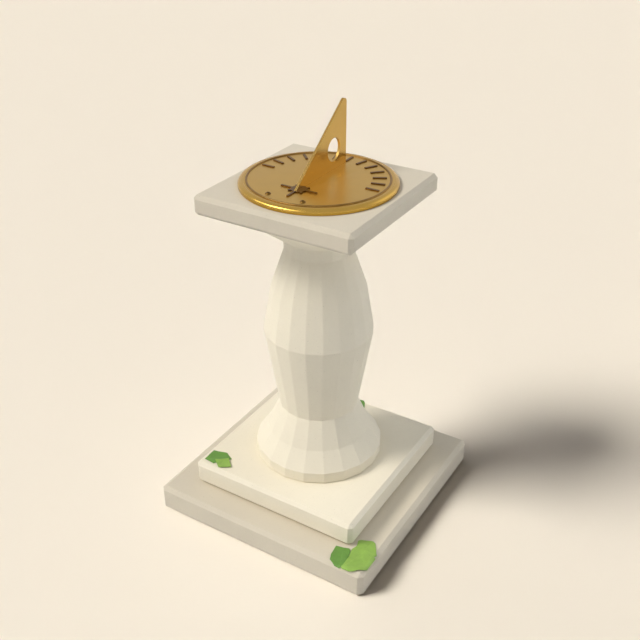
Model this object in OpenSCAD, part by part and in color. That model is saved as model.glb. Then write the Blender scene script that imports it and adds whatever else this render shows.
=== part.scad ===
// Pedestal sundial: a stone pedestal of four blocks on mortar beds, with a
// horizontal brass dial screwed to its top block.
// Millimetres. +Z is up, +Y is the way the gnomon rises, +X is to its right.
// The origin is the centre of the plinth's underside, on the ground.

/* [Plinth and step] */
// Height of the plinth slab
plinth_h = 49; // [30:1:70]
// Ledge of the plinth left bare round the step
plinth_ledge = 47.5; // [25:0.5:80]
// Width of the plinth's bevel, seen from above
plinth_bevel_w = 8; // [3:0.5:12]
// Height of the plinth's bevel
plinth_bevel_h = 6; // [3:0.5:12]
// Height of the step
step_h = 44.5; // [36:0.5:60]
// Ledge of the step left bare round the baluster's foot
step_ledge = 48; // [25:0.5:80]
// Width of the step's bevel, seen from above
step_bevel_w = 7; // [3:0.5:12]
// Height of the step's bevel
step_bevel_h = 6.5; // [3:0.5:12]

/* [Baluster] */
// Number of flat sides cut round the baluster
baluster_sides = 20; // [16:2:28]
// Radius at the corners of the foot ring
foot_r = 114.5; // [95:0.5:140]
// Upright height of the foot ring
foot_h = 20.5; // [12:0.5:30]
// Bevel above the foot ring: how far it comes in
foot_bevel_w = 2.5; // [1:0.5:5]
// Bevel above the foot ring: how high it is
foot_bevel_h = 2.6; // [1:0.1:5]
// Radius where the foot's slope steepens
flare_r = 91.6; // [82:0.1:100]
// Rise from the foot ring to that radius
flare_h = 29.4; // [20:0.1:40]
// Radius of the waist
waist_r = 70.2; // [60:0.1:80]
// Rise from the flare to the waist
waist_h = 49.9; // [35:0.1:65]
// Radius of the belly
belly_r = 94.8; // [80:0.1:112]
// Rise from the waist to the belly
belly_h = 151; // [120:1:190]
// Radius of the shoulder
shoulder_r = 81.3; // [70:0.1:95]
// Rise from the belly to the shoulder
shoulder_h = 78.6; // [55:0.1:100]
// Radius of the neck
neck_r = 57.5; // [48:0.5:66]
// Rise from the shoulder to the neck
neck_h = 70; // [50:0.1:90]
// Radius at the top of the neck, under the capital
collar_r = 58.5; // [50:0.1:68]
// Rise from the neck to the capital
collar_h = 22; // [14:0.1:32]
// How far the capital's edge stays back from the cap's edge
capital_inset = 19.5; // [12:0.5:30]
// Rise of the capital's slope from the neck to that edge
capital_slope_h = 47.5; // [36:0.5:60]
// Upright height of the capital's edge
capital_edge_h = 6.5; // [3:0.5:14]

/* [Cap slab] */
// Height of the cap slab
cap_h = 34; // [30:0.5:50]
// Border of the cap left bare round the dial
cap_border = 14.5; // [8:0.5:40]
// Width of the cap's bevel, seen from above
cap_bevel_w = 6.5; // [3:0.5:10]
// Height of the cap's bevel
cap_bevel_h = 6.5; // [3:0.5:10]

/* [Mortar and dowels] */
// Thickness of each mortar bed
bed_t = 1; // [1:0.5:3]
// How far each bed stays back from the edge of the block above it
bed_recess = 12; // [6:1:20]
// Diameter of the steel dowels
dowel_d = 12; // [8:1:16]
// Gap round a dowel in its hole
dowel_fit = 0.5; // [0.2:0.1:0.8]
// Depth of a dowel in the block below
dowel_down = 28; // [20:1:30]
// Depth of a dowel in the block above
dowel_up = 24; // [16:1:26]
// Distance of the step's two dowels from the axis
step_dowel_x = 100; // [60:5:120]
// Distance of the cap's two dowels from the axis
cap_dowel_x = 50; // [35:1:60]

/* [Dial plate] */
// Diameter of the dial plate
dial_d = 254; // [210:1:310]
// Thickness of the plate's rim
dial_t = 9.5; // [8:0.5:12]
// Thickness of the plate inside its rim
web_t = 4; // [3.6:0.1:6]
// Width of the solid rim
rim_w = 19; // [17:0.5:22]
// Radius of the plate's upper edge
dial_edge_r = 3; // [1:0.5:4]
// Bevel of the plate's lower edge
dial_foot_bevel = 0.8; // [0.4:0.1:1.5]
// Radius of the bosses under the screws
boss_r = 6; // [5:0.5:7]
// Radius of the boss over the centre stud
stud_boss_r = 9; // [8:0.5:12]

/* [Chapter ring] */
// Distance from the plate's edge to the middle of the ring
ring_inset = 13.8; // [12:0.1:15]
// Width of the ring's round bead
ring_w = 3.6; // [2:0.1:5]
// Depth of the ring's tongue in the plate
ring_tongue = 1.2; // [0.8:0.1:2]

/* [Hour marks] */
// Gap between the ring's middle and the marks
mark_gap = 6.7; // [4:0.1:9]
// Length of an hour mark
mark_len = 22.5; // [14:0.5:26]
// Width of an hour mark
mark_w = 4; // [2.5:0.1:5]
// Height of a mark above the plate
mark_h = 1.5; // [0.6:0.1:2]

/* [Gnomon] */
// Angle of the style, which is the latitude the dial is cut for
latitude = 37.4; // [34:0.1:44]
// Thickness of the gnomon
gnomon_t = 4.2; // [4:0.1:6]
// Gap between the gnomon's heel and the noon mark
heel_gap = 3.7; // [2:0.1:8]
// Gap between the gnomon's toe and the circle of the marks' inner ends
toe_gap = 16.5; // [10:0.5:30]
// Height of the blunt toe above the plate
toe_h = 1.8; // [0.4:0.1:3]
// Radius of the gnomon's tip
tip_r = 7; // [2:0.5:9]
// Depth of the gnomon's seat in the plate
seat_depth = 1; // [0.5:0.1:1.4]
// Metal left between the window and the heel
window_heel_wall = 19; // [14:0.5:24]
// Metal left between the window and the plate
window_base_wall = 14.5; // [12:0.5:20]
// Metal left between the window and the style
window_style_wall = 23; // [16:0.5:26]
// Distance from the toe to the front screw
front_screw_back = 25; // [20:1:30]
// Distance from the heel to the rear screw
rear_screw_back = 15; // [8:1:18]

/* [Compass star] */
// Distance from the gnomon's toe to the middle of the star
star_back = 10.2; // [8:0.1:12]
// Length of the star's four long points
star_long = 32; // [26:0.5:38]
// Length of the star's four short points
star_short = 17; // [14:0.5:20]
// Width of the star's points
star_w = 3.6; // [2.5:0.1:4]
// Radius of the star's round middle
star_hub_r = 13; // [12.5:0.5:16]
// Height of the star above the plate
star_h = 1.8; // [0.8:0.1:3]

/* [Fasteners and fits] */
// Distance from the plate's edge to the two dial screws
screw_inset = 27.2; // [26:0.1:32]
// Angle of each dial screw from the plate's front
screw_angle = 18; // [14:1:30]
// Diameter of the dial screws' shank
screw_d = 3.6; // [3:0.1:4]
// Diameter of the dial screws' domed head
screw_head_d = 9.5; // [7:0.5:10]
// Height of the domed head
screw_head_h = 2.8; // [1.5:0.1:3.5]
// Length of a dial screw below its head
screw_len = 31; // [24:1:33]
// Diameter of the wall plugs
plug_d = 6; // [5.5:0.5:8]
// Diameter of the centre stud
stud_d = 8; // [6:0.5:10]
// Depth of the centre stud in the cap
stud_down = 24; // [15:1:26]
// Depth of the centre stud in the plate
stud_up = 6; // [4:0.5:6.5]
// Diameter of the gnomon's screws
gnomon_screw_d = 2.5; // [2:0.1:3]
// Diameter of the gnomon screws' heads
gnomon_head_d = 5.4; // [4.5:0.1:6]
// Height of the gnomon screws' heads
gnomon_head_h = 2; // [1.5:0.1:2.4]
// Depth of the gnomon's screws in the gnomon
gnomon_thread = 6; // [4:0.5:8]
// Diameter of the washers under those heads
washer_d = 8; // [6.5:0.5:9]
// Thickness of those washers
washer_t = 0.6; // [0.4:0.1:1]
// Diameter of the pegs under the marks and the star
peg_d = 2; // [1.5:0.1:2.4]
// Length of those pegs
peg_len = 2.2; // [1.5:0.1:2.6]
// Gap all round a piece let into another
fit = 0.05; // [0.03:0.01:0.15]

/* [Leaves] */
// Thickness of an ivy leaf
leaf_t = 2.2; // [1:0.1:3]

/* [Hidden] */

stone_colour = "#ece5d3";
mortar_colour = "#b9b2a2";
steel_colour = "#8d9196";
brass_colour = "#bd9650";
bronze_colour = "#4f3517";
plug_colour = "#9a9a94";
dark_leaf_colour = "#5f8f3a";
light_leaf_colour = "#8fba4c";

round_fn = 96;
small_fn = 32;
tip_steps = 12;
first_hour = 6;
noon = 12;
last_hour = 18;
degrees_per_hour = 15;

// Widths of the square blocks
step_w = 2 * (foot_r + step_ledge);
plinth_w = step_w + 2 * plinth_ledge;
cap_w = dial_d + 2 * cap_border;
capital_r = cap_w / 2 - capital_inset;

// Heights of the pieces' undersides above the ground
step_z = plinth_h + bed_t;
step_top = step_z + step_h;
baluster_z = step_top + bed_t;

// Outline of the baluster from foot to capital: [radius at the corners, rise]
baluster_outline = [
    [foot_r, 0],
    [foot_r, foot_h],
    [foot_r - foot_bevel_w, foot_bevel_h],
    [flare_r, flare_h],
    [waist_r, waist_h],
    [belly_r, belly_h],
    [shoulder_r, shoulder_h],
    [neck_r, neck_h],
    [collar_r, collar_h],
    [capital_r, capital_slope_h],
    [capital_r, capital_edge_h]
];
baluster_h = rise_to(len(baluster_outline) - 1);
baluster_top = baluster_z + baluster_h;
cap_z = baluster_top + bed_t;
dial_z = cap_z + cap_h;
face_z = dial_z + dial_t;
web_z = face_z - web_t;

// Radii on the dial
dial_r = dial_d / 2;
ring_r = dial_r - ring_inset;
mark_out_r = ring_r - mark_gap;
mark_in_r = mark_out_r - mark_len;
screw_r = dial_r - screw_inset;

// The gnomon lies in the plane x = 0; its own x runs from toe to heel
heel_y = mark_in_r - heel_gap;
toe_y = toe_gap - mark_in_r;
gnomon_len = heel_y - toe_y;
seat_z = face_z - seat_depth;
star_y = toe_y + star_back;
front_screw_y = toe_y + front_screw_back;
rear_screw_y = heel_y - rear_screw_back;

// Middle of the tip's arc, which touches the heel and the style
tip_x = gnomon_len - tip_r;
tip_up = toe_h + tip_x * tan(latitude) - tip_r / cos(latitude);

// The window touches three lines set in from heel, plate and style
style_reach = (gnomon_len - window_heel_wall) * sin(latitude) + toe_h * cos(latitude);
window_r = (style_reach - window_base_wall * cos(latitude) - window_style_wall)
    / (1 + sin(latitude) + cos(latitude));

// Sizes of holes that take a piece
dowel_hole_r = dowel_d / 2 + dowel_fit;
screw_hole_r = screw_d / 2 + 0.4;
plug_len = screw_len - dial_t + 3;
mark_peg_inset = 4;
star_peg_r = 24;
slot_w = 1;
slot_depth = 0.9;

// Height of a point of the baluster's outline above its underside
function rise_to(i) = i < 0 ? 0 : baluster_outline[i][1] + rise_to(i - 1);

// Corner of a ring of the baluster
function ring_corner(i, k) = [
    baluster_outline[i][0] * cos(k * 360 / baluster_sides),
    baluster_outline[i][0] * sin(k * 360 / baluster_sides),
    rise_to(i)
];

// Angle of an hour's mark, counted from +X
function hour_angle(hour) = 90 + (noon - hour) * degrees_per_hour;

// Radius of the largest circle inside a flat-sided ring of the baluster
function flat_r(corner_r) = corner_r * cos(180 / baluster_sides);

// Square block with one flat bevel on every edge
module bevelled_block(w, h, bevel_w, bevel_h) {
    inner_w = w - 2 * bevel_w;
    inner_h = h - 2 * bevel_h;
    translate([0, 0, h / 2])
    hull() {
        cube([inner_w, inner_w, h], center = true);
        cube([w, inner_w, inner_h], center = true);
        cube([inner_w, w, inner_h], center = true);
    }
}

// Solid turned from the outline, with flat sides in place of a round
module faceted_turning() {
    rings = len(baluster_outline);
    n = baluster_sides;
    polyhedron(
        points = [for (i = [0:rings - 1]) for (k = [0:n - 1]) ring_corner(i, k)],
        faces = concat(
            [[for (k = [0:n - 1]) k]],
            [[for (k = [n - 1:-1:0]) (rings - 1) * n + k]],
            [for (i = [0:rings - 2]) for (k = [0:n - 1])
                [i * n + k, (i + 1) * n + k, (i + 1) * n + (k + 1) % n, i * n + (k + 1) % n]]
        )
    );
}

// Upright round hole or pin whose lower end is at z
module pin(r, h, z = 0) {
    translate([0, 0, z])
    cylinder(r = r, h = h, $fn = small_fn);
}

// Repeats its children at both sides of the plane x = 0
module pair(x, y = 0) {
    for (side = [-1, 1])
        translate([side * x, y, 0])
        children();
}

// Repeats its children at the two dial screws
module at_dial_screws() {
    pair(screw_r * sin(screw_angle), -screw_r * cos(screw_angle))
    children();
}

// Repeats its children at the gnomon's two screws
module at_gnomon_screws() {
    for (y = [front_screw_y, rear_screw_y])
        translate([0, y, 0])
        children();
}

// Repeats its children at both pegs of an hour mark
module at_mark_pegs(hour) {
    rotate([0, 0, hour_angle(hour)])
    for (r = [mark_in_r + mark_peg_inset, mark_out_r - mark_peg_inset])
        translate([r, 0, 0])
        children();
}

// Repeats its children at the star's three pegs
module at_star_pegs() {
    translate([0, star_y, 0])
    for (angle = [0, 180, 270])
        rotate([0, 0, angle])
        translate([star_peg_r, 0, 0])
        children();
}

module plinth_slab() {
    color(stone_colour)
    difference() {
        bevelled_block(plinth_w, plinth_h, plinth_bevel_w, plinth_bevel_h);
        pair(step_dowel_x)
        pin(dowel_hole_r, dowel_down + bed_t, plinth_h - dowel_down);
    }
}

module step_dowels() {
    color(steel_colour)
    pair(step_dowel_x)
    pin(dowel_d / 2, dowel_down + bed_t + dowel_up, plinth_h - dowel_down);
}

module mortar_bed_step() {
    w = step_w - 2 * bed_recess;
    color(mortar_colour)
    difference() {
        translate([-w / 2, -w / 2, plinth_h])
        cube([w, w, bed_t]);
        pair(step_dowel_x)
        pin(dowel_hole_r, 3 * bed_t, plinth_h - bed_t);
    }
}

module plinth_step() {
    color(stone_colour)
    difference() {
        translate([0, 0, step_z])
        bevelled_block(step_w, step_h, step_bevel_w, step_bevel_h);
        pair(step_dowel_x)
        pin(dowel_hole_r, dowel_up + bed_t, step_z - bed_t);
        pin(dowel_hole_r, dowel_down + bed_t, step_top - dowel_down);
    }
}

module baluster_dowel() {
    color(steel_colour)
    pin(dowel_d / 2, dowel_down + bed_t + dowel_up, step_top - dowel_down);
}

module mortar_bed_baluster() {
    color(mortar_colour)
    translate([0, 0, step_top])
    difference() {
        cylinder(r = flat_r(foot_r) - bed_recess, h = bed_t, $fn = round_fn);
        pin(dowel_hole_r, 3 * bed_t, -bed_t);
    }
}

module baluster() {
    color(stone_colour)
    difference() {
        translate([0, 0, baluster_z])
        faceted_turning();
        pin(dowel_hole_r, dowel_up + bed_t, baluster_z - bed_t);
        pair(cap_dowel_x)
        pin(dowel_hole_r, dowel_down + bed_t, baluster_top - dowel_down);
    }
}

module cap_dowels() {
    color(steel_colour)
    pair(cap_dowel_x)
    pin(dowel_d / 2, dowel_down + bed_t + dowel_up, baluster_top - dowel_down);
}

module mortar_bed_cap() {
    color(mortar_colour)
    translate([0, 0, baluster_top])
    difference() {
        cylinder(r = flat_r(capital_r) - bed_recess, h = bed_t, $fn = round_fn);
        pair(cap_dowel_x)
        pin(dowel_hole_r, 3 * bed_t, -bed_t);
    }
}

module cap_slab() {
    color(stone_colour)
    difference() {
        translate([0, 0, cap_z])
        bevelled_block(cap_w, cap_h, cap_bevel_w, cap_bevel_h);
        pair(cap_dowel_x)
        pin(dowel_hole_r, dowel_up + bed_t, cap_z - bed_t);
        at_dial_screws()
        pin(plug_d / 2 + fit, plug_len + dial_t, dial_z - plug_len);
        pin(stud_d / 2 + fit, stud_down + dial_t, dial_z - stud_down);
    }
}

module wall_plugs() {
    color(plug_colour)
    at_dial_screws()
    difference() {
        pin(plug_d / 2, plug_len, dial_z - plug_len);
        pin(screw_d / 2 + fit, screw_len, face_z - screw_len);
    }
}

module centre_stud() {
    color(steel_colour)
    pin(stud_d / 2, stud_down + stud_up, dial_z - stud_down);
}

// Half section of the plate: rim with a rounded upper edge, and the web inside it
module plate_section() {
    edge_x = dial_r - dial_edge_r;
    translate([edge_x, dial_t - dial_edge_r])
    circle(r = dial_edge_r, $fn = small_fn);
    polygon([
        [dial_r - rim_w, 0],
        [dial_r - dial_foot_bevel, 0],
        [dial_r, dial_foot_bevel],
        [dial_r, dial_t - dial_edge_r],
        [edge_x, dial_t - dial_edge_r],
        [edge_x, dial_t],
        [0, dial_t],
        [0, dial_t - web_t],
        [dial_r - rim_w, dial_t - web_t]
    ]);
}

module dial_plate() {
    color(brass_colour)
    difference() {
        union() {
            translate([0, 0, dial_z])
            rotate_extrude($fn = round_fn)
            plate_section();
            at_dial_screws()
            pin(boss_r, dial_t - web_t / 2, dial_z);
            pin(stud_boss_r, dial_t - web_t / 2, dial_z);
        }
        translate([0, 0, face_z - ring_tongue])
        rotate_extrude($fn = round_fn)
        translate([ring_r - ring_w / 2 - fit, 0])
        square([ring_w + 2 * fit, 2 * ring_tongue]);
        translate([-gnomon_t / 2 - fit, toe_y - fit, seat_z])
        cube([gnomon_t + 2 * fit, gnomon_len + 2 * fit, 2 * seat_depth]);
        at_gnomon_screws()
        pin(gnomon_screw_d / 2 + fit, 2 * web_t, web_z - web_t);
        at_dial_screws()
        pin(screw_hole_r, 3 * dial_t, dial_z - dial_t);
        pin(stud_d / 2 + fit, stud_up + dial_t, dial_z - dial_t);
        for (hour = [first_hour:last_hour])
            at_mark_pegs(hour)
            pin(peg_d / 2 + fit, 2 * peg_len, face_z - peg_len);
        at_star_pegs()
        pin(peg_d / 2 + fit, 2 * peg_len, face_z - peg_len);
    }
}

module dial_screws() {
    // Radius of the ball that the head is cut from
    ball_r = (pow(screw_head_d / 2, 2) + pow(screw_head_h, 2)) / (2 * screw_head_h);
    color(bronze_colour)
    at_dial_screws()
    difference() {
        translate([0, 0, face_z])
        rotate_extrude($fn = small_fn) {
            intersection() {
                translate([0, screw_head_h - ball_r])
                circle(r = ball_r, $fn = small_fn);
                square([screw_head_d, screw_head_h]);
            }
            translate([0, -screw_len])
            square([screw_d / 2, screw_len + screw_head_h / 2]);
        }
        translate([-screw_head_d, -slot_w / 2, face_z + screw_head_h - slot_depth])
        cube([2 * screw_head_d, slot_w, 2 * slot_depth]);
    }
}

module chapter_ring() {
    color(bronze_colour)
    translate([0, 0, face_z])
    rotate_extrude($fn = round_fn)
    translate([ring_r, 0]) {
        intersection() {
            circle(r = ring_w / 2, $fn = small_fn);
            translate([-ring_w / 2, 0])
            square([ring_w, ring_w]);
        }
        translate([-ring_w / 2, -ring_tongue])
        square([ring_w, ring_tongue]);
    }
}

module compass_star() {
    color(bronze_colour) {
        difference() {
            translate([0, star_y, face_z]) {
                cylinder(r = star_hub_r, h = star_h, $fn = small_fn);
                for (turn = [0, 90])
                    rotate([0, 0, turn])
                    translate([-star_long, -star_w / 2, 0])
                    cube([2 * star_long, star_w, star_h]);
                for (turn = [45, 135])
                    rotate([0, 0, turn])
                    translate([-star_short, -star_w / 2, 0])
                    cube([2 * star_short, star_w, star_h]);
            }
            translate([-gnomon_t / 2 - fit, toe_y - fit, face_z - star_h])
            cube([gnomon_t + 2 * fit, gnomon_len, 3 * star_h]);
        }
        at_star_pegs()
        pin(peg_d / 2, peg_len + star_h / 2, face_z - peg_len);
    }
}

// Outline of the gnomon, with x from toe to heel and y up from the plate
module gnomon_outline() {
    arc_start = 90 + latitude;
    difference() {
        polygon(concat(
            [[gnomon_len, -seat_depth], [0, -seat_depth], [0, toe_h]],
            [for (step = [0:tip_steps])
                let (angle = arc_start * (1 - step / tip_steps))
                [tip_x + tip_r * cos(angle), tip_up + tip_r * sin(angle)]]
        ));
        translate([gnomon_len - window_heel_wall - window_r, window_base_wall + window_r])
        circle(r = window_r, $fn = round_fn);
    }
}

module gnomon() {
    color(brass_colour)
    difference() {
        translate([-gnomon_t / 2, toe_y, face_z])
        rotate([90, 0, 90])
        linear_extrude(height = gnomon_t)
        gnomon_outline();
        at_gnomon_screws()
        pin(gnomon_screw_d / 2 + fit, gnomon_thread + seat_depth, seat_z - seat_depth);
    }
}

module gnomon_washers() {
    color(steel_colour)
    at_gnomon_screws()
    difference() {
        pin(washer_d / 2, washer_t, web_z - washer_t);
        pin(gnomon_screw_d / 2 + fit, 3 * washer_t, web_z - 2 * washer_t);
    }
}

module gnomon_screws() {
    head_z = web_z - washer_t - gnomon_head_h;
    color(steel_colour)
    at_gnomon_screws() {
        pin(gnomon_head_d / 2, gnomon_head_h, head_z);
        pin(gnomon_screw_d / 2, seat_z + gnomon_thread - seat_depth - head_z, head_z);
    }
}

module hour_mark(hour) {
    color(bronze_colour) {
        rotate([0, 0, hour_angle(hour)])
        translate([mark_in_r, -mark_w / 2, face_z])
        cube([mark_len, mark_w, mark_h]);
        at_mark_pegs(hour)
        pin(peg_d / 2, peg_len + mark_h / 2, face_z - peg_len);
    }
}

// Leaf with straight edges; its outline is measured from a corner of the block
// that it lies on, and layer counts the leaves under it
module leaf(corner, outline, z, layer) {
    translate([corner[0], corner[1], z + layer * leaf_t])
    linear_extrude(height = leaf_t)
    polygon(outline);
}

module step_leaf_dark() {
    color(dark_leaf_colour)
    leaf([-step_w / 2, -step_w / 2], [[11, 14], [10, 41], [36, 48], [53, 38], [47, 32], [32, 12]], step_top, 0);
}

module step_leaf_light() {
    color(light_leaf_colour)
    leaf([-step_w / 2, -step_w / 2], [[29, 20], [49, 36], [66, 19], [47, 6]], step_top, 1);
}

module plinth_leaf_dark() {
    color(dark_leaf_colour)
    leaf([plinth_w / 2, -plinth_w / 2],
        [[-72, 38], [-46, 47], [-42, 28], [-40, 1], [-51, 1], [-64, 8]], plinth_h, 0);
}

module plinth_leaf_light() {
    color(light_leaf_colour)
    leaf([plinth_w / 2, -plinth_w / 2],
        [[-46, 46], [-28, 54], [-4, 54], [-1, 44], [-1, 23], [-14, 12], [-26, 1], [-41, 2]], plinth_h, 1);
}

module plinth_leaf_upper() {
    color(light_leaf_colour)
    leaf([plinth_w / 2, -plinth_w / 2],
        [[-40, 53], [-44, 72], [-29, 81], [-20, 82], [-3, 56], [-10, 49], [-28, 49]], plinth_h, 0);
}

module back_leaf() {
    color(dark_leaf_colour)
    leaf([0, step_w / 2], [[-18, -26], [-16, -8], [2, -5], [13, -16], [0, -32]], step_top, 0);
}

plinth_slab();
step_dowels();
mortar_bed_step();
plinth_step();
baluster_dowel();
mortar_bed_baluster();
baluster();
cap_dowels();
mortar_bed_cap();
cap_slab();
wall_plugs();
centre_stud();
dial_plate();
dial_screws();
chapter_ring();
compass_star();
gnomon();
gnomon_washers();
gnomon_screws();
hour_mark(6);  // hour_mark_06
hour_mark(7);  // hour_mark_07
hour_mark(8);  // hour_mark_08
hour_mark(9);  // hour_mark_09
hour_mark(10);  // hour_mark_10
hour_mark(11);  // hour_mark_11
hour_mark(12);  // hour_mark_12
hour_mark(13);  // hour_mark_13
hour_mark(14);  // hour_mark_14
hour_mark(15);  // hour_mark_15
hour_mark(16);  // hour_mark_16
hour_mark(17);  // hour_mark_17
hour_mark(18);  // hour_mark_18
step_leaf_dark();
step_leaf_light();
plinth_leaf_dark();
plinth_leaf_light();
plinth_leaf_upper();
back_leaf();
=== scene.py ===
"""Looks of the pedestal sundial: finishes, softened edges, leaves, floor, light and camera."""
import math

import bmesh
import bpy
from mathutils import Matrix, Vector


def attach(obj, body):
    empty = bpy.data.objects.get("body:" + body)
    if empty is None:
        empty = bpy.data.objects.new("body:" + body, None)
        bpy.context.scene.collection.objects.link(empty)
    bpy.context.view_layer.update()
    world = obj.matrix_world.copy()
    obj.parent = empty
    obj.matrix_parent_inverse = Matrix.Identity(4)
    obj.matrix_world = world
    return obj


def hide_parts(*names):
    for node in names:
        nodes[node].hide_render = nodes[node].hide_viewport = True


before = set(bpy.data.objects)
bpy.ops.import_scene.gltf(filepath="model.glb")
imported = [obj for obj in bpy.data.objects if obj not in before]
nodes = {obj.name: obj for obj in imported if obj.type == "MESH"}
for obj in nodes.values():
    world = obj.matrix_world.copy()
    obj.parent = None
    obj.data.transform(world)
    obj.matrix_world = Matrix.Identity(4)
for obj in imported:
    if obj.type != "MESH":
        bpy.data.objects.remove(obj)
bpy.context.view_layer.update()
MM = 0.001

# Dial plate, in mm: its rim is turned to a quarter of an ellipse, with a chamfer below
DIAL_R = 127.0
DIAL_TOP = 618.0
RIM_R = 126.9
ROLL_W = 8.5
ROLL_H = 5.5
ROLL_STEPS = 10
RIM_STEPS = 180
RIM_FOOT = 608.0
RIM_CHAMFER = 1.3
FACE_ALLOWANCE = 0.004  # keeps the turning off the plate's flat face
TURNING_SPAN = (600.0, 640.0)

# Middle and radius of the gnomon's window, in mm
WINDOW_Y = 42.505
WINDOW_Z = 651.295
WINDOW_R = 18.795

# Clean-up of meshes: distances in mm, angles in degrees
CAD_WELD = 0.001
SLIVER = 0.005
FLAT_ANGLE = 0.6
SHARP_ANGLE = 48.0
ROUNDING_SEGMENTS = 2

# Leaves, in mm; a wave has its turns in radians per mm and its start in radians
LEAF_T = 0.7
LEAF_STEP = 1.1
LEAF_BEND = 6.0
LEAF_CURL_R = 20.0
LEAF_WAVE_H = 0.45
LEAF_WAVE_X = (0.21, 0.9)
LEAF_WAVE_Y = (0.24, -0.4)
VEIN_W = 0.55
VEIN_DEPTH = 0.22

FLOOR_HALF = 30.0  # m
CAMERA_LENS = 50.0
CAMERA_SENSOR = 36.0
CAMERA_PLACE = (687.5, -1112.9, 1131.9)  # mm
CAMERA_TURN = (59.454, 0.0, 31.622)  # degrees

# Sockets of a Mix node by what it mixes: factor, first, second, result
MIX_SOCKETS = {"RGBA": (0, 6, 7, 2), "FLOAT": (0, 2, 3, 0)}


# Materials


class Shader:
    """A new material with a few helpers that keep its node set-up short."""

    def __init__(self, name):
        self.material = bpy.data.materials.new(name)
        self.material.use_nodes = True
        self.tree = self.material.node_tree
        self.body = self.tree.nodes["Principled BSDF"]
        self.place = self.add("ShaderNodeTexCoord").outputs["Object"]

    def add(self, kind, **settings):
        node = self.tree.nodes.new(kind)
        for key, value in settings.items():
            setattr(node, key, value)
        return node

    def put(self, socket, value):
        """Give a socket another node's output, a number, a vector or a colour without alpha."""
        if isinstance(value, bpy.types.NodeSocket):
            self.tree.links.new(value, socket)
        elif isinstance(value, tuple) and len(socket.default_value) == 4:
            socket.default_value = (*value, 1.0)
        else:
            socket.default_value = value

    def set(self, name, value):
        self.put(self.body.inputs[name], value)

    def noise(self, scale, detail=4.0, roughness=0.5, stretch=None):
        node = self.add("ShaderNodeTexNoise")
        for name, value in (("Scale", scale), ("Detail", detail), ("Roughness", roughness)):
            self.put(node.inputs[name], value)
        source = self.place
        if stretch:
            mapping = self.add("ShaderNodeMapping")
            self.put(mapping.inputs["Vector"], source)
            self.put(mapping.inputs["Scale"], stretch)
            source = mapping.outputs["Vector"]
        self.put(node.inputs["Vector"], source)
        return node.outputs["Fac"]

    def spread(self, value, low, high, out_low=0.0, out_high=1.0):
        """Straight ramp from out_low to out_high as the value goes from low to high."""
        node = self.add("ShaderNodeMapRange")
        ends = {"From Min": low, "From Max": high, "To Min": out_low, "To Max": out_high}
        for name, number in ends.items():
            self.put(node.inputs[name], number)
        self.put(node.inputs["Value"], value)
        return node.outputs["Result"]

    def mix(self, factor, first, second, kind="RGBA"):
        """The first colour where the factor is zero, the second where it is one."""
        node = self.add("ShaderNodeMix", data_type=kind)
        *ends, result = MIX_SOCKETS[kind]
        for end, value in zip(ends, (factor, first, second)):
            self.put(node.inputs[end], value)
        return node.outputs[result]

    def blend(self, factor, first, second):
        """The same for two numbers."""
        return self.mix(factor, first, second, "FLOAT")

    def maths(self, operation, first, second):
        node = self.add("ShaderNodeMath", operation=operation)
        self.put(node.inputs[0], first)
        self.put(node.inputs[1], second)
        return node.outputs["Value"]

    def vector_maths(self, operation, first, second=None, result="Vector"):
        node = self.add("ShaderNodeVectorMath", operation=operation)
        self.put(node.inputs[0], first)
        if second is not None:
            self.put(node.inputs[1], second)
        return node.outputs[result]

    def bump(self, height, distance, strength, below=None):
        """Bump on the surface, over another one if that is given."""
        node = self.add("ShaderNodeBump")
        self.put(node.inputs["Strength"], strength)
        self.put(node.inputs["Distance"], distance)
        self.put(node.inputs["Height"], height)
        if below is not None:
            self.put(node.inputs["Normal"], below)
        self.set("Normal", node.outputs["Normal"])
        return node.outputs["Normal"]

    def pinholes(self, scale, share):
        """One inside small round holes, which a share of the cells of a pattern have."""
        cells = self.add("ShaderNodeTexVoronoi")
        self.put(cells.inputs["Scale"], scale)
        self.put(cells.inputs["Vector"], self.place)
        hole = self.spread(cells.outputs["Distance"], 0.05, 0.1, 1.0, 0.0)
        chosen = self.maths("LESS_THAN", cells.outputs["Color"], share)
        return self.maths("MULTIPLY", hole, chosen)

    def edges(self, radius):
        """One along convex and concave edges, zero on flat faces."""
        bevel = self.add("ShaderNodeBevel", samples=4)
        self.put(bevel.inputs["Radius"], radius)
        flat = self.add("ShaderNodeNewGeometry")
        normals = (bevel.outputs["Normal"], flat.outputs["Normal"])
        along = self.vector_maths("DOT_PRODUCT", *normals, "Value")
        return self.spread(along, 0.93, 0.995, 1.0, 0.0)

    def distance(self, middle, along):
        """Distance in metres from a point, along the axes whose factor is one."""
        offset = self.vector_maths("SUBTRACT", self.place, middle)
        flat_offset = self.vector_maths("MULTIPLY", offset, along)
        return self.vector_maths("LENGTH", flat_offset, result="Value")

    def seen_by(self, *rays):
        """One for any of the given kinds of ray, such as "Is Camera Ray", and zero for others."""
        path = self.add("ShaderNodeLightPath")
        total = path.outputs[rays[0]]
        for ray in rays[1:]:
            total = self.maths("MAXIMUM", total, path.outputs[ray])
        return total


def linear(r, g, b):
    """Linear colour of an sRGB colour given as 0 to 255."""
    shares = (r / 255, g / 255, b / 255)
    return tuple(c / 12.92 if c <= 0.04045 else ((c + 0.055) / 1.055) ** 2.4 for c in shares)


def scaled(colour, factor):
    return tuple(c * factor for c in colour)


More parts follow.
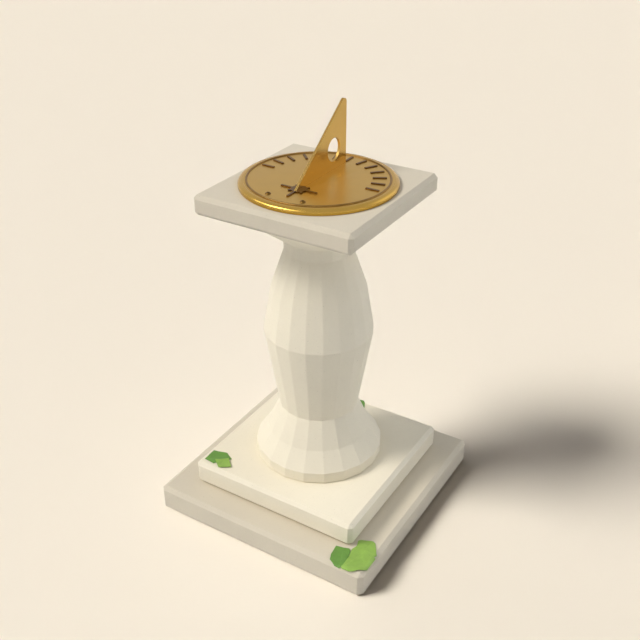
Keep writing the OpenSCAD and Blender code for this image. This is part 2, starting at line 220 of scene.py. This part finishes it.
def stone(name, colour):
    """Fine cast stone: a sandy face, faint clouds of tone, pinholes in painted shade, lightly
    rubbed edges.
    """
    s = Shader(name)
    clouds = s.spread(s.noise(9.0, detail=5.0, roughness=0.6), 0.35, 0.65)
    sand = s.noise(260.0, roughness=0.65)
    grain = s.noise(900.0, detail=3.0, roughness=0.6)
    holes = s.pinholes(150.0, 0.55)
    sand_tone = scaled(colour, 0.93)
    tone = s.mix(clouds, scaled(colour, 0.965), colour)
    tone = s.mix(s.spread(sand, 0.45, 0.75, 0.0, 0.4), tone, sand_tone)
    tone = s.mix(s.spread(grain, 0.3, 0.7, 0.3, 0.0), tone, sand_tone)
    patches = s.spread(s.noise(55.0, roughness=0.6), 0.4, 0.6)
    rubbed = s.maths("MULTIPLY", s.edges(2.5 * MM), patches)
    tone = s.mix(s.maths("MULTIPLY", rubbed, 0.6), tone, scaled(colour, 1.05))
    # Painted shade: the pinholes are drawn at 0.45 of the stone's colour, for the shade inside them
    s.set("Base Color", s.mix(s.maths("MULTIPLY", holes, 0.45), tone, scaled(colour, 0.45)))
    s.set("Roughness", s.spread(clouds, 0.0, 1.0, 0.8, 0.9))
    s.set("Specular IOR Level", 0.25)
    rough = s.bump(grain, 0.15 * MM, 0.35)
    rough = s.bump(sand, 0.3 * MM, 0.25, rough)
    s.bump(s.maths("SUBTRACT", 1.0, holes), 0.4 * MM, 0.6, rough)
    return s.material


def brass(name, colour, roughness, rim_roughness=None, window_roughness=None):
    """Polished brass with a fine lapped grain and slightly uneven gloss.

    A dial's rolled rim may be shinier than its face, and the filed wall of a gnomon's window duller
    than its sides.
    """
    s = Shader(name)
    clouds = s.spread(s.noise(14.0, detail=5.0, roughness=0.6), 0.3, 0.7)
    smudges = s.spread(s.noise(45.0, detail=6.0, roughness=0.65), 0.45, 0.7)
    tone = s.mix(clouds, scaled(colour, 0.94), scaled(colour, 1.02))
    s.set("Base Color", s.mix(s.maths("MULTIPLY", smudges, 0.35), tone, scaled(colour, 0.88)))
    s.set("Metallic", 1.0)
    gloss = s.spread(clouds, 0.0, 1.0, roughness * 0.92, roughness * 1.12)
    if rim_roughness:
        from_axis = s.distance((0.0, 0.0, 0.0), (1.0, 1.0, 0.0))
        roll_start = DIAL_R - ROLL_W
        rim = s.spread(from_axis, (roll_start - 0.5) * MM, (roll_start + 1.0) * MM)
        gloss = s.blend(rim, gloss, rim_roughness)
    if window_roughness:
        from_middle = s.distance((0.0, WINDOW_Y * MM, WINDOW_Z * MM), (0.0, 1.0, 1.0))
        wall = s.spread(from_middle, (WINDOW_R + 0.1) * MM, (WINDOW_R + 0.4) * MM, 1.0, 0.0)
        gloss = s.blend(wall, gloss, window_roughness)
    s.set("Roughness", gloss)
    s.bump(s.noise(1100.0, detail=2.0, stretch=(0.25, 1.6, 1.0)), 0.02 * MM, 0.18)
    return s.material


def bronze(name, colour):
    """Dark brown patinated brass of the marks, the ring, the star and the screws."""
    s = Shader(name)
    clouds = s.spread(s.noise(60.0, roughness=0.6), 0.35, 0.65)
    s.set("Base Color", s.mix(clouds, scaled(colour, 0.75), scaled(colour, 1.05)))
    s.set("Metallic", 1.0)
    s.set("Roughness", s.spread(clouds, 0.0, 1.0, 0.3, 0.42))
    s.bump(s.noise(1600.0, detail=2.0), 0.02 * MM, 0.3)
    return s.material


def leaf(name, colour, vein_colour):
    """Waxy ivy leaf: mottled green, paler along its veins, over a fine cell texture."""
    s = Shader(name)
    clouds = s.spread(s.noise(70.0, detail=5.0, roughness=0.6), 0.3, 0.7)
    vein = s.add("ShaderNodeAttribute", attribute_name="vein").outputs["Fac"]
    blade = s.mix(clouds, scaled(colour, 0.82), scaled(colour, 1.06))
    s.set("Base Color", s.mix(s.maths("MULTIPLY", vein, 0.22), blade, vein_colour))
    s.set("Roughness", s.spread(clouds, 0.0, 1.0, 0.42, 0.55))
    s.bump(s.noise(600.0, detail=3.0, roughness=0.6), 0.1 * MM, 0.4)
    return s.material


def plain(name, colour, metallic=0.0, roughness=0.6):
    """Finish of a hidden fitting, with a little unevenness."""
    s = Shader(name)
    s.set("Base Color", s.mix(s.noise(80.0), scaled(colour, 0.85), colour))
    s.set("Metallic", metallic)
    s.set("Roughness", roughness)
    return s.material


LIGHT_STONE = stone("light_stone", linear(244, 236, 214))
GREY_STONE = stone("grey_stone", linear(218, 209, 189))
MORTAR = stone("mortar", linear(170, 162, 146))
BRASS = brass("dial_brass", linear(203, 166, 78), 0.32, rim_roughness=0.18)
GNOMON_BRASS = brass("gnomon_brass", linear(200, 166, 91), 0.18, window_roughness=0.5)
BRONZE = bronze("dark_bronze", linear(122, 93, 44))
RING_BRONZE = bronze("ring_bronze", linear(150, 118, 62))
DARK_LEAF = leaf("dark_leaf_green", linear(104, 150, 66), linear(130, 170, 90))
LIGHT_LEAF = leaf("light_leaf_green", linear(146, 184, 84), linear(170, 200, 110))
STEEL = plain("steel", linear(150, 152, 156), 1.0, 0.35)
PLUG = plain("plug_grey", linear(150, 150, 145))

# A node's finish is that of the first entry that its name starts with
FINISHES = (
    ("baluster_dowel", STEEL),
    ("baluster", LIGHT_STONE),
    ("plinth_step", LIGHT_STONE),
    ("plinth_slab", GREY_STONE),
    ("cap_slab", GREY_STONE),
    ("mortar", MORTAR),
    ("step_dowels", STEEL),
    ("cap_dowels", STEEL),
    ("centre_stud", STEEL),
    ("wall_plugs", PLUG),
    ("dial_plate", BRASS),
    ("dial_screws", BRONZE),
    ("chapter_ring", RING_BRONZE),
    ("compass_star", BRONZE),
    ("hour_mark", BRONZE),
    ("gnomon_", STEEL),
    ("gnomon", GNOMON_BRASS),
    ("step_leaf_dark", DARK_LEAF),
    ("plinth_leaf_dark", DARK_LEAF),
    ("back_leaf", DARK_LEAF),
    ("step_leaf_light", LIGHT_LEAF),
    ("plinth_leaf_light", LIGHT_LEAF),
    ("plinth_leaf_upper", LIGHT_LEAF),
)
for name, thing in nodes.items():
    finish = next(material for start, material in FINISHES if name.startswith(start))
    for slot in thing.material_slots:
        slot.material = finish


# Meshes


def add_object(name, mesh):
    thing = bpy.data.objects.new(name, mesh)
    bpy.context.scene.collection.objects.link(thing)
    return thing


def mesh_of(bm, name):
    """New mesh of a bmesh, which is freed."""
    mesh = bpy.data.meshes.new(name)
    bm.to_mesh(mesh)
    bm.free()
    return mesh


def hand_in(piece, node):
    """Let a piece ride with the object and stand for a CAD node."""
    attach(piece, "root")
    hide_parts(node)


def applied(thing):
    """Mesh of an object with its modifiers applied and no slivers; the object is removed."""
    bpy.context.view_layer.update()
    evaluated = thing.evaluated_get(bpy.context.evaluated_depsgraph_get())
    mesh = bpy.data.meshes.new_from_object(evaluated)
    bpy.data.objects.remove(thing)
    bm = bmesh.new()
    bm.from_mesh(mesh)
    bmesh.ops.remove_doubles(bm, verts=bm.verts[:], dist=SLIVER * MM)
    bmesh.ops.dissolve_degenerate(bm, edges=bm.edges[:], dist=SLIVER * MM)
    bm.to_mesh(mesh)
    bm.free()
    return mesh


def lathe(name, profile, steps):
    """Closed solid turned about +Z from a profile of (radius, height) in mm, from axis to axis."""
    points = [(0.0, 0.0, profile[0][1] * MM), (0.0, 0.0, profile[-1][1] * MM)]
    rows = profile[1:-1]
    for radius, height in rows:
        for k in range(steps):
            turn = 2 * math.pi * k / steps
            points.append((radius * math.cos(turn) * MM, radius * math.sin(turn) * MM, height * MM))
    faces = []
    for k in range(steps):
        after = (k + 1) % steps
        faces.append((0, 2 + after, 2 + k))
        for row in range(len(rows) - 1):
            a, b = 2 + row * steps, 2 + (row + 1) * steps
            faces.append((a + k, a + after, b + after, b + k))
        last = 2 + (len(rows) - 1) * steps
        faces.append((1, last + k, last + after))
    mesh = bpy.data.meshes.new(name)
    mesh.from_pydata(points, [], faces)
    bm = bmesh.new()
    bm.from_mesh(mesh)
    bmesh.ops.recalc_face_normals(bm, faces=bm.faces[:])
    bm.to_mesh(mesh)
    bm.free()
    return mesh


def turned_rim(mesh):
    """The dial plate with its rim turned to a soft roll: what a turned solid leaves of it."""
    below, above = TURNING_SPAN
    profile = [(0.0, above), (DIAL_R - ROLL_W, DIAL_TOP + FACE_ALLOWANCE)]
    for i in range(1, ROLL_STEPS + 1):
        turn = 0.5 * math.pi * i / ROLL_STEPS
        radius = RIM_R - ROLL_W * (1 - math.sin(turn))
        profile.append((radius, DIAL_TOP - ROLL_H * (1 - math.cos(turn))))
    foot_r = RIM_R - RIM_CHAMFER
    profile += [(RIM_R, RIM_FOOT + RIM_CHAMFER), (foot_r, RIM_FOOT), (foot_r, below), (0.0, below)]
    plate = add_object("rim_plate", mesh)
    turning = add_object("rim_turning", lathe("rim_turning", profile, RIM_STEPS))
    cut = plate.modifiers.new("turning", "BOOLEAN")
    cut.operation = "INTERSECT"
    cut.object = turning
    turned = applied(plate)
    bpy.data.objects.remove(turning)
    return turned


def rounded(mesh, width, limit):
    """The mesh with a rounding of the given width in mm on each edge sharper than limit degrees."""
    blank = add_object("rounding_blank", mesh)
    rounding = blank.modifiers.new("rounding", "BEVEL")
    rounding.width = width * MM
    rounding.segments = ROUNDING_SEGMENTS
    rounding.limit_method = "ANGLE"
    rounding.angle_limit = math.radians(limit)
    return applied(blank)


def soften(node, slot, width, limit):
    """Stand-in for a CAD node with its sharp edges rounded, or for the dial plate a rolled rim."""
    source = nodes[node]
    bm = bmesh.new()
    bm.from_mesh(source.data)
    bmesh.ops.remove_doubles(bm, verts=bm.verts[:], dist=CAD_WELD * MM)
    flat = math.radians(FLAT_ANGLE)
    bmesh.ops.dissolve_limit(bm, angle_limit=flat, verts=bm.verts[:], edges=bm.edges[:])
    mesh = mesh_of(bm, node + "_soft")
    mesh = turned_rim(mesh) if node == "dial_plate" else rounded(mesh, width, limit)
    mesh.materials.clear()
    for material in source.data.materials:
        mesh.materials.append(material)
    mesh.shade_smooth()
    mesh.set_sharp_from_angle(angle=math.radians(SHARP_ANGLE))
    piece = add_object(node + "_soft", mesh)
    shading = piece.modifiers.new("shading", "WEIGHTED_NORMAL")
    shading.keep_sharp = True
    hand_in(piece, node)


# Node, slot, width of the rounding in mm, least angle of a rounded edge in degrees
SOFT_PIECES = [
    ("plinth_slab", "grey_stone", 1.2, 25.0),
    ("plinth_step", "stone", 1.2, 25.0),
    ("cap_slab", "grey_stone", 1.0, 25.0),
    ("baluster", "stone", 1.0, 11.0),
    ("dial_plate", "brass", None, None),
    ("gnomon", "brass", 0.2, 30.0),
    ("compass_star", "bronze", 0.15, 30.0),
    ("dial_screws", "bronze", 0.15, 30.0),
]
HOUR_MARKS = [name for name in sorted(nodes) if name.startswith("hour_mark")]
SOFT_PIECES += [(name, "bronze", 0.3, 30.0) for name in HOUR_MARKS]
for entry in SOFT_PIECES:
    soften(*entry)


# Leaves that lie over the stone's edges


def draped_height(x, y, half, top, bevel_w, bevel_h):
    """Height in mm of a leaf on a bevelled block: flat on top, then bending down over the bevel."""
    drops = []
    for reach in (abs(x), abs(y)):
        past = max(0.0, reach - (half - bevel_w))
        bent = past * past / (2 * LEAF_BEND) if past < LEAF_BEND else past - LEAF_BEND / 2
        drops.append(bent * bevel_h / bevel_w)
    return top - (drops[0] ** 3 + drops[1] ** 3) ** (1 / 3)


def nearness(x, y, start, end):
    """Distance in mm from a point to the straight line between two others."""
    dx, dy = end[0] - start[0], end[1] - start[1]
    t = ((x - start[0]) * dx + (y - start[1]) * dy) / (dx * dx + dy * dy)
    t = min(1.0, max(0.0, t))
    return math.hypot(x - start[0] - t * dx, y - start[1] - t * dy)


def flat_leaf(corners):
    """Flat leaf in mm, facing up, in triangles with no edge longer than LEAF_STEP."""
    bm = bmesh.new()
    bm.faces.new([bm.verts.new((x, y, 0.0)) for x, y in corners])
    bmesh.ops.triangulate(bm, faces=bm.faces[:])
    long_edges = [e for e in bm.edges if e.calc_length() > LEAF_STEP]
    while long_edges:
        bmesh.ops.subdivide_edges(bm, edges=long_edges, cuts=1)
        bmesh.ops.triangulate(bm, faces=bm.faces[:])
        long_edges = [e for e in bm.edges if e.calc_length() > LEAF_STEP]
    bmesh.ops.recalc_face_normals(bm, faces=bm.faces[:])
    if sum(f.normal.z for f in bm.faces) < 0:
        bmesh.ops.reverse_faces(bm, faces=bm.faces[:])
    return bm


def tips_of(corners, stem):
    """Corners that lie farther from the stem than both their neighbours."""
    reach = [math.hypot(x - stem[0], y - stem[1]) for x, y in corners]
    after = reach[1:] + reach[:1]
    return [c for i, c in enumerate(corners) if reach[i] >= max(reach[i - 1], after[i])]


def add_leaf(node, slot, corners, stem, block, lift, curl):
    """Thin ivy leaf that follows the stone under it, with veins from the stem's end to its tips."""
    middle_x, middle_y = (sum(values) / len(corners) for values in zip(*corners))
    tips = tips_of(corners, stem)
    (turns_x, start_x), (turns_y, start_y) = LEAF_WAVE_X, LEAF_WAVE_Y
    bm = flat_leaf(corners)
    vein_layer = bm.verts.layers.float.new("vein")
    for v in bm.verts:
        x, y = v.co.x, v.co.y
        vein = max(math.exp(-(nearness(x, y, stem, tip) / VEIN_W) ** 2) for tip in tips)
        far = math.hypot(x - middle_x, y - middle_y) / LEAF_CURL_R
        wave = math.sin(turns_x * x + start_x) * math.cos(turns_y * y + start_y)
        height = draped_height(x, y, *block) + lift + curl * min(1.0, far * far)
        height += LEAF_WAVE_H * (1 + wave)
        height -= VEIN_DEPTH * vein
        v[vein_layer] = vein
        v.co = Vector((x, y, height)) * MM
    mesh = mesh_of(bm, node + "_blade")
    mesh.materials.append(LIGHT_LEAF if slot == "light_leaf" else DARK_LEAF)
    mesh.shade_smooth()
    piece = add_object(node + "_blade", mesh)
    shell = piece.modifiers.new("thickness", "SOLIDIFY")
    shell.thickness = LEAF_T * MM
    shell.offset = 1.0
    hand_in(piece, node)


# Half the block's width, its top, and its bevel's width and height, in mm
PLINTH_BLOCK = (210.0, 49.0, 8.0, 6.0)
STEP_BLOCK = (162.5, 94.5, 7.0, 6.5)

# Node, slot, corners, end of the stem, block under it, lift off the stone, rise of its rim
LEAVES = (
    (
        "plinth_leaf_dark", "dark_leaf", (
            (139.3, -171.5), (161.4, -165.1), (166.2, -169.3), (169.2, -181.5), (170.6, -201.5),
            (167.7, -209.0), (158.4, -209.0), (146.0, -202.8), (141.6, -191.5),
        ), (152.0, -168.0), PLINTH_BLOCK, 0.1, 0.4,
    ),
    (
        "plinth_leaf_light", "light_leaf", (
            (166.7, -165.6), (169.3, -154.5), (176.0, -154.0), (206.5, -153.6), (208.1, -156.2),
            (206.0, -161.4), (209.0, -161.9), (209.0, -190.6), (204.7, -196.6), (197.9, -199.6),
            (192.1, -206.2), (185.0, -209.0), (172.4, -209.0), (169.4, -206.5), (171.2, -202.5),
            (170.0, -180.1),
        ), (188.0, -157.0), PLINTH_BLOCK, 1.1, 0.9,
    ),
    (
        "plinth_leaf_upper", "light_leaf", (
            (169.3, -154.0), (165.5, -142.3), (169.5, -137.4), (187.7, -130.1), (193.1, -132.5),
            (206.2, -153.2), (200.1, -160.3), (181.9, -158.3),
        ), (184.0, -157.0), PLINTH_BLOCK, 0.2, 0.8,
    ),
    (
        "step_leaf_dark", "dark_leaf", (
            (-151.2, -148.5), (-152.0, -121.1), (-126.3, -114.7), (-109.0, -124.4),
            (-115.8, -130.4), (-130.7, -150.5),
        ), (-120.0, -127.0), STEP_BLOCK, 0.1, 0.5,
    ),
    (
        "step_leaf_light", "light_leaf", (
            (-133.1, -141.8), (-113.9, -126.3), (-96.4, -143.2), (-115.4, -155.8),
        ), (-118.0, -131.0), STEP_BLOCK, 1.4, 0.6,
    ),
    (
        "back_leaf", "dark_leaf", (
            (-18.0, 136.5), (-16.0, 154.5), (0.5, 158.0), (4.0, 161.5), (12.5, 153.0),
            (18.7, 139.5), (11.0, 136.0), (0.0, 130.5),
        ), (-6.0, 134.0), STEP_BLOCK, 0.2, 0.8,
    ),
)
for entry in LEAVES:
    add_leaf(*entry)


# Floor, light and camera


def add_floor():
    """Plain pale floor: cream to the camera and to metal, neutral grey in the light it bounces."""
    low, high = -FLOOR_HALF, FLOOR_HALF
    corners = [(low, low, 0), (high, low, 0), (high, high, 0), (low, high, 0)]
    mesh = bpy.data.meshes.new("floor")
    mesh.from_pydata(corners, [], [(0, 1, 2, 3)])
    floor = add_object("floor", mesh)
    s = Shader("floor_cream")
    seen = s.seen_by("Is Camera Ray", "Is Glossy Ray")
    s.set("Base Color", s.mix(seen, linear(219, 219, 219), linear(239, 230, 214)))
    s.set("Roughness", 0.9)
    s.set("Specular IOR Level", 0.0)
    mesh.materials.append(s.material)
    return floor


def facing(azimuth, elevation):
    """Unit vector to the given azimuth, counted from +X, and elevation, in degrees."""
    a, e = math.radians(azimuth), math.radians(elevation)
    return Vector((math.cos(a) * math.cos(e), math.sin(a) * math.cos(e), math.sin(e)))


def add_sun(name, azimuth, elevation, strength, angle, colour, floor=None, lights_floor=True):
    """Sun lamp that shines from the given azimuth, counted from +X, and elevation, in degrees.

    Where a floor is given, the lamp lights only that floor, or everything but that floor. Metal
    doesn't show the lamps: it shows the softboxes in the world.
    """
    lamp = bpy.data.lights.new(name, "SUN")
    lamp.energy = strength
    lamp.angle = math.radians(angle)
    lamp.color = colour
    source = facing(azimuth, elevation)
    thing = add_object(name, lamp)
    thing.rotation_euler = source.to_track_quat("Z", "Y").to_euler()
    thing.location = source * 3
    thing.visible_glossy = False
    if floor:
        reach = bpy.data.collections.new(name + "_reach")
        reach.objects.link(floor)
        if not lights_floor:
            reach.collection_objects[0].light_linking.link_state = "EXCLUDE"
        thing.light_linking.receiver_collection = reach


class WorldShader(Shader):
    """The same helpers on the world's nodes."""

    def __init__(self, world):
        world.use_nodes = True
        self.tree = world.node_tree
        self.body = self.tree.nodes["Background"]


def add_world(strength, horizon, zenith, softboxes):
    """Dim even light on matt surfaces; metal sees a studio, pale at the horizon, with softboxes."""
    world = bpy.data.worlds.new("studio")
    s = WorldShader(world)
    direction = s.add("ShaderNodeTexCoord").outputs["Generated"]
    split = s.add("ShaderNodeSeparateXYZ")
    s.put(split.inputs["Vector"], direction)
    mirrored = s.spread(split.outputs["Z"], 0.25, 0.8, horizon, zenith)
    for azimuth, elevation, full, end, level in softboxes:
        toward = s.vector_maths("DOT_PRODUCT", direction, facing(azimuth, elevation), "Value")
        inside = s.spread(toward, math.cos(math.radians(end)), math.cos(math.radians(full)))
        mirrored = s.blend(inside, mirrored, level)
    camera = s.seen_by("Is Camera Ray")
    lit = s.blend(s.seen_by("Is Glossy Ray"), strength, mirrored)
    s.set("Strength", s.blend(camera, lit, 1.0))
    s.set("Color", s.mix(camera, (1.0, 0.955, 1.0), linear(242, 232, 213)))
    bpy.context.scene.world = world


def add_camera():
    camera = bpy.data.cameras.new("camera")
    camera.lens = CAMERA_LENS
    camera.sensor_width = CAMERA_SENSOR
    thing = add_object("camera", camera)
    thing.location = Vector(CAMERA_PLACE) * MM
    thing.rotation_euler = [math.radians(angle) for angle in CAMERA_TURN]
    bpy.context.scene.camera = thing


WARM = (1.05, 1.0, 0.94)
COOL = (0.97, 1.0, 1.04)
NEUTRAL = (1.0, 1.0, 1.0)
# Azimuth, elevation, half-width where it is full, half-width where it ends, level
SOFTBOXES = (
    (-160.0, 38.0, 8.0, 13.0, 2.8),
    (-108.0, 47.0, 8.0, 13.0, 3.4),
    (-133.0, 45.5, 11.0, 14.5, 8.5),
    (58.0, 24.0, 14.0, 30.0, 1.22),
)

floor = add_floor()
# Name, azimuth, elevation, strength, angle that the lamp fills, colour
add_sun("key", -136.0, 47.5, 2.0, 20.0, WARM)
add_sun("fill_back", 38.0, 30.0, 1.33, 90.0, COOL, floor, False)
add_sun("fill_front", -90.0, 45.0, 0.44, 60.0, COOL, floor, False)
add_sun("fill_left", 190.0, 30.0, 0.5, 60.0, COOL, floor, False)
add_sun("floor_key", -136.0, 45.0, 1.66, 22.0, NEUTRAL, floor)
add_sun("floor_fill", 165.0, 21.0, 0.76, 60.0, NEUTRAL, floor)
add_world(strength=0.095, horizon=0.8, zenith=0.66, softboxes=SOFTBOXES)
add_camera()
bpy.context.scene.view_settings.view_transform = "Standard"
